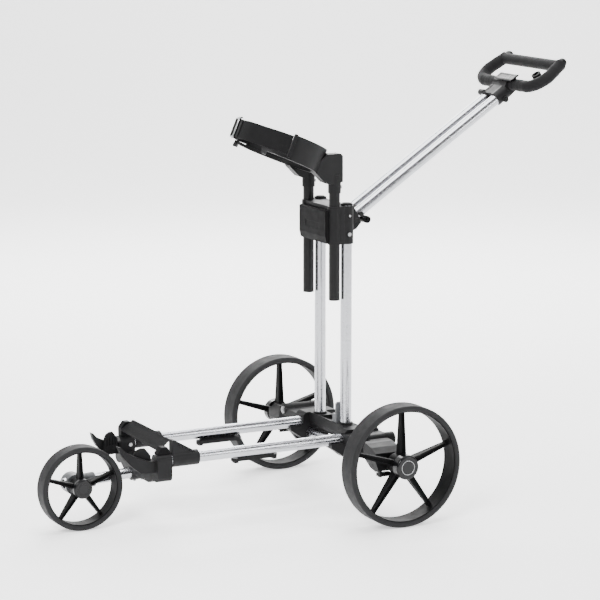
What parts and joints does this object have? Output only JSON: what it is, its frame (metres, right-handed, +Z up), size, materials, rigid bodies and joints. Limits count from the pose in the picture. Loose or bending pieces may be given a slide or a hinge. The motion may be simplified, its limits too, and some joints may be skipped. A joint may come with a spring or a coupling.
{
  "type": "golf push trolley",
  "caption": "Folding golf push trolley with spoked wheels, a hinged mast, strapped bag cradles and a tilting foam grip loop.",
  "frame": {"origin": "on the ground, midway between the contact points of the two rear tyres", "axes": "+X forward towards the front wheel, +Y to the trolley's left, +Z up"},
  "size_m": [1.3886, 0.72, 1.0935],
  "materials": {
    "alloy": "satin anodised",
    "black_plastic": "fine moulded texture",
    "dark_plastic": "smooth moulded",
    "gloss_plastic": "polished",
    "grey_plastic": "moulded",
    "black_tube": "satin black coating",
    "tyre": "solid foam tyre",
    "foam": "fine grained foam",
    "webbing": "woven webbing",
    "steel": "plated",
    "pad": "soft moulded"
  },
  "bodies": {
    "frame": {"cross_tube": "alloy", "lower_tube_left": "alloy", "lower_tube_right": "alloy", "housing_left": "black_plastic", "housing_right": "black_plastic", "tube_rails": "black_plastic", "frame_pins": "steel", "sleeves": "black_plastic", "lower_beam": "black_plastic", "wings": "black_plastic", "wing_pads": "pad", "strap_keepers": "dark_plastic", "lower_strap": "webbing", "front_tube": "alloy", "front_carrier": "grey_plastic", "front_axle": "steel", "frame_screws": "steel"},
    "left_arm": {"arm_left": "black_plastic", "axle_left": "steel"},
    "right_arm": {"arm_right": "black_plastic", "axle_right": "steel"},
    "left_lever": {"arm_lever_left": "dark_plastic"},
    "right_lever": {"arm_lever_right": "dark_plastic"},
    "left_wheel": {"tyre_left": "tyre", "rim_left": "dark_plastic", "hub_cap_left": "gloss_plastic", "bearings_left": "steel"},
    "right_wheel": {"tyre_right": "tyre", "rim_right": "dark_plastic", "hub_cap_right": "gloss_plastic", "bearings_right": "steel"},
    "front_wheel": {"tyre_front": "tyre", "rim_front": "dark_plastic", "hub_cap_front": "gloss_plastic", "bearings_front": "steel"},
    "mast": {"upright_left": "alloy", "upright_right": "alloy", "mast_foot": "black_plastic", "top_block": "black_plastic", "top_cover": "dark_plastic", "mast_caps": "dark_plastic", "mast_fasteners": "steel"},
    "latch": {"latch_slider": "grey_plastic"},
    "carrier": {"posts": "black_tube", "elbows": "black_plastic", "upper_cradle": "black_plastic", "upper_strap": "webbing", "strap_buckle": "dark_plastic", "carrier_screws": "steel"},
    "handle": {"handle_tubes": "alloy", "handle_knuckle": "dark_plastic", "handle_fasteners": "black_tube", "grip_clamp": "black_plastic"},
    "release_lever": {"handle_lever": "dark_plastic"},
    "grip": {"loop_core": "dark_plastic", "grip_foam": "foam", "crossbar": "foam", "loop_caps": "gloss_plastic", "console": "gloss_plastic", "accessory_socket": "dark_plastic"}
  },
  "joints": [
    {"name": "left_wheel_spin", "type": "hinge", "parent": "left_arm", "child": "left_wheel", "pos_m": [0, 0.325, 0.15], "axis": [0, 1, 0], "continuous": true},
    {"name": "right_wheel_spin", "type": "hinge", "parent": "right_arm", "child": "right_wheel", "pos_m": [0, -0.325, 0.15], "axis": [0, 1, 0], "continuous": true},
    {"name": "front_wheel_spin", "type": "hinge", "parent": "frame", "child": "front_wheel", "pos_m": [0.703, 0, 0.103], "axis": [0, 1, 0], "continuous": true},
    {"name": "left_arm_fold", "type": "hinge", "parent": "frame", "child": "left_arm", "pos_m": [0, 0.2, 0.186], "axis": [1, 0, 0], "range_deg": [-90, 0]},
    {"name": "right_arm_fold", "type": "hinge", "parent": "frame", "child": "right_arm", "pos_m": [0, -0.2, 0.186], "axis": [1, 0, 0], "range_deg": [0, 90]},
    {"name": "left_lever_press", "type": "hinge", "parent": "left_arm", "child": "left_lever", "pos_m": [0.015, 0.283, 0.119], "axis": [1, 0, 0], "range_deg": [0, 20], "stiffness_Nm_per_rad": 0.4, "springref_deg": -11.46},
    {"name": "right_lever_press", "type": "hinge", "parent": "right_arm", "child": "right_lever", "pos_m": [0.015, -0.283, 0.119], "axis": [1, 0, 0], "range_deg": [-20, 0], "stiffness_Nm_per_rad": 0.4, "springref_deg": 11.46},
    {"name": "mast_fold", "type": "hinge", "parent": "frame", "child": "mast", "pos_m": [0.012, 0, 0.178], "axis": [0, 1, 0], "range_deg": [0, 58]},
    {"name": "latch_lift", "type": "slide", "parent": "mast", "child": "latch", "axis": [0, 0, 1], "range_m": [0, 0.01], "stiffness_N_per_m": 500, "springref_m": -0.006},
    {"name": "carrier_slide", "type": "slide", "parent": "mast", "child": "carrier", "axis": [0, 0, 1], "range_m": [-0.028, 0.11]},
    {"name": "handle_fold", "type": "hinge", "parent": "mast", "child": "handle", "pos_m": [-0.022, 0, 0.71], "axis": [0, 1, 0], "range_deg": [-100, 0]},
    {"name": "handle_lever_press", "type": "hinge", "parent": "handle", "child": "release_lever", "pos_m": [-0.05361, 0, 0.70754], "axis": [0, 1, 0], "range_deg": [-25, 0], "stiffness_Nm_per_rad": 0.5, "springref_deg": 11.46},
    {"name": "grip_tilt", "type": "hinge", "parent": "handle", "child": "grip", "pos_m": [-0.48311, 0, 1.0236], "axis": [0, 1, 0], "range_deg": [-45, 25]}
  ]
}
